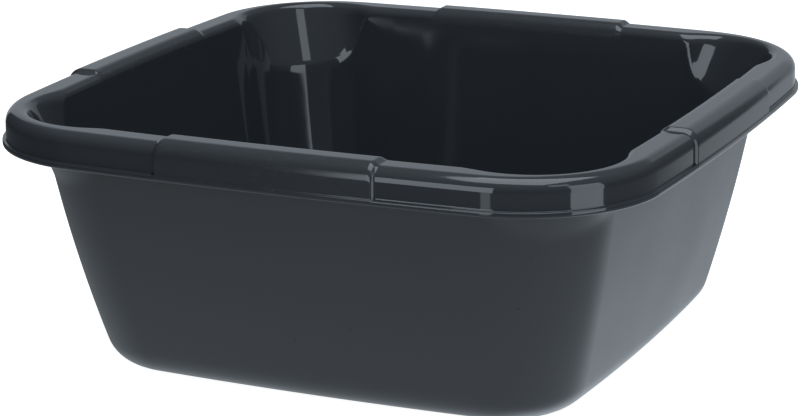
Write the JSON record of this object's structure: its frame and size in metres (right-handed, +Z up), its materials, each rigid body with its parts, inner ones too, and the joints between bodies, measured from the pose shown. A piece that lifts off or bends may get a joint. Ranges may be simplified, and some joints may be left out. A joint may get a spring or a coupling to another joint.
{
  "type": "washing-up bowl",
  "caption": "Square plastic washing-up bowl with tapering walls, a turned-over hollow rim, raised side grips and scooped pouring corners.",
  "frame": {"origin": "middle of the base, on the surface that the bowl stands on", "axes": "+Z up out of the bowl, +X to the right along the front side, +Y from the front to the back"},
  "size_m": [0.38, 0.38, 0.149],
  "materials": {
    "basin_plastic": "moulded polypropylene, polished inside and fine satin outside",
    "rim_plastic": "moulded polypropylene, polished",
    "grip_plastic": "moulded polypropylene, fine satin"
  },
  "bodies": {
    "root": {"basin": "basin_plastic", "rim_corner_front_right": "rim_plastic", "rim_corner_back_right": "rim_plastic", "rim_corner_back_left": "rim_plastic", "rim_corner_front_left": "rim_plastic", "grip_front": "grip_plastic", "grip_right": "grip_plastic", "grip_back": "grip_plastic", "grip_left": "grip_plastic"}
  },
  "joints": []
}
